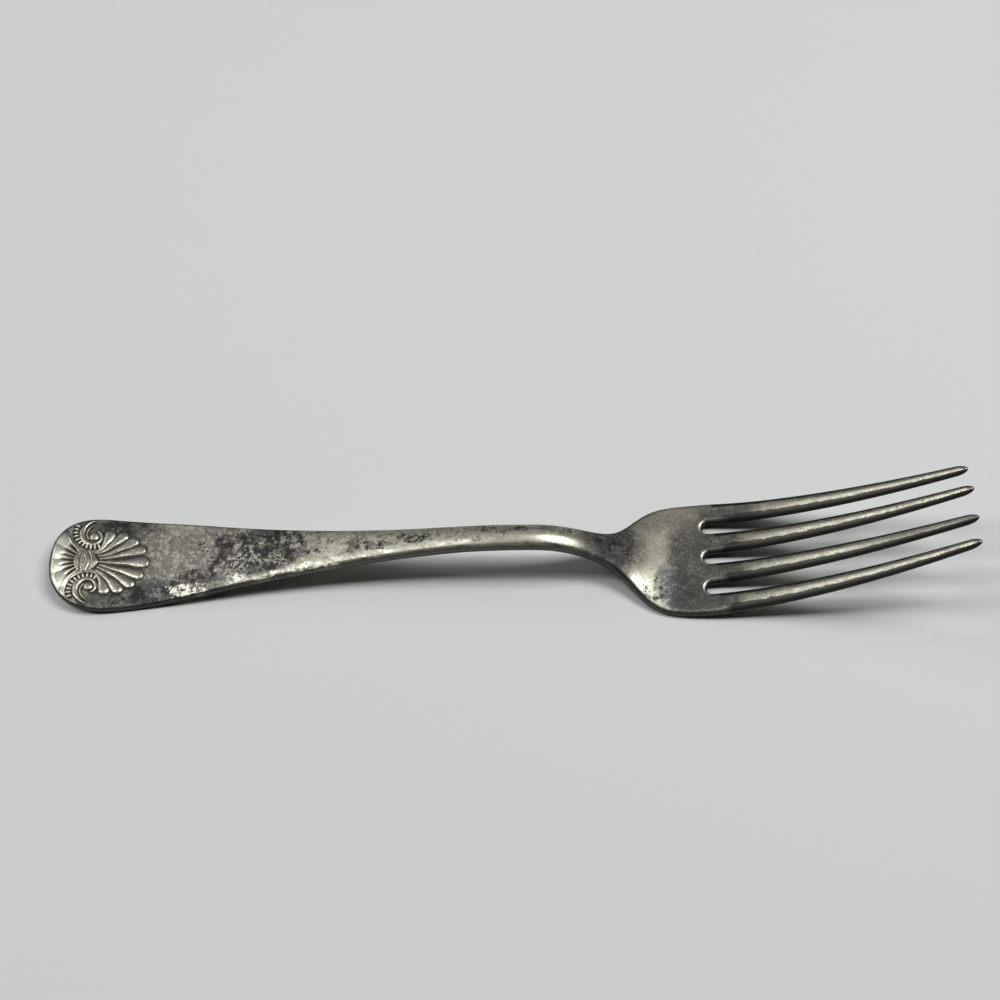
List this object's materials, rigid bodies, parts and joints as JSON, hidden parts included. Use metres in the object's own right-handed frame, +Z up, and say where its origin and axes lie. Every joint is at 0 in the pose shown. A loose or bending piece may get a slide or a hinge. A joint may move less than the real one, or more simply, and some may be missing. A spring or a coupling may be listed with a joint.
{
  "type": "table fork",
  "caption": "Table fork with slender curved tines, a dished palm, an arched stem and a tapering handle that ends in a struck shell with scrolls.",
  "frame": {"origin": "on the table under the middle of the fork as it lies with its tines up", "axes": "+X along the fork from the handle's end to the tine tips, +Y across it, +Z up"},
  "size_m": [0.1908, 0.0264, 0.0252],
  "materials": {
    "silver_plate": "old silver plate on nickel silver, mottled with dark tarnish, with bright worn edges"
  },
  "bodies": {
    "root": {"handle_end": "silver_plate", "handle_blade": "silver_plate", "stem": "silver_plate", "neck": "silver_plate", "palm": "silver_plate", "tine_1": "silver_plate", "tine_2": "silver_plate", "tine_3": "silver_plate", "tine_4": "silver_plate"}
  },
  "joints": []
}
